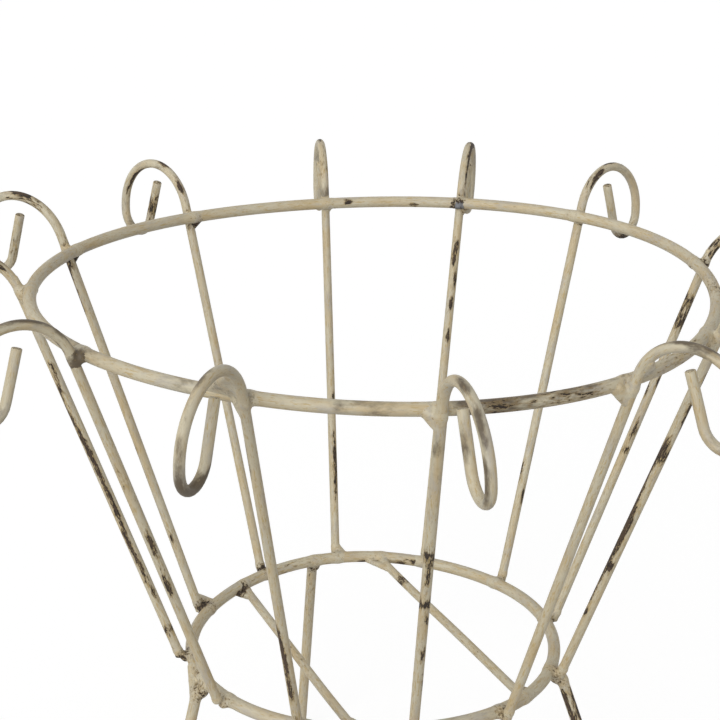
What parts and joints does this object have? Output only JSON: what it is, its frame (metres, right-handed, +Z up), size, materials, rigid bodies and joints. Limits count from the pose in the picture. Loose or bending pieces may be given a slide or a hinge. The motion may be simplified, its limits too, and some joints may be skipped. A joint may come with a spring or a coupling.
{
  "type": "footed wire fruit basket",
  "caption": "Open tapered wire basket: a rim hoop and a base hoop joined by uprights that curl over at the top, standing on splayed wire legs, for holding picked fruit.",
  "frame": {"origin": "on the ground under the middle of the hoops", "axes": "+Z up through the middle of the hoops, the front faces -Y, +X is to the right"},
  "size_m": [0.3936, 0.3978, 0.3102],
  "materials": {
    "painted_wire": "chipped cream paint on steel wire",
    "painted_weld": "chipped cream paint over rough weld beads"
  },
  "bodies": {
    "root": {"rim_ring": "painted_wire", "base_ring": "painted_wire", "upright_01": "painted_wire", "upright_02": "painted_wire", "upright_03": "painted_wire", "upright_04": "painted_wire", "upright_05": "painted_wire", "upright_06": "painted_wire", "upright_07": "painted_wire", "upright_08": "painted_wire", "upright_09": "painted_wire", "upright_10": "painted_wire", "upright_11": "painted_wire", "upright_12": "painted_wire", "floor_wire_left": "painted_wire", "floor_wire_right": "painted_wire", "leg_rear": "painted_wire", "leg_right": "painted_wire", "leg_left": "painted_wire", "rim_welds": "painted_weld", "base_welds": "painted_weld", "floor_welds": "painted_weld", "leg_welds": "painted_weld"}
  },
  "joints": []
}
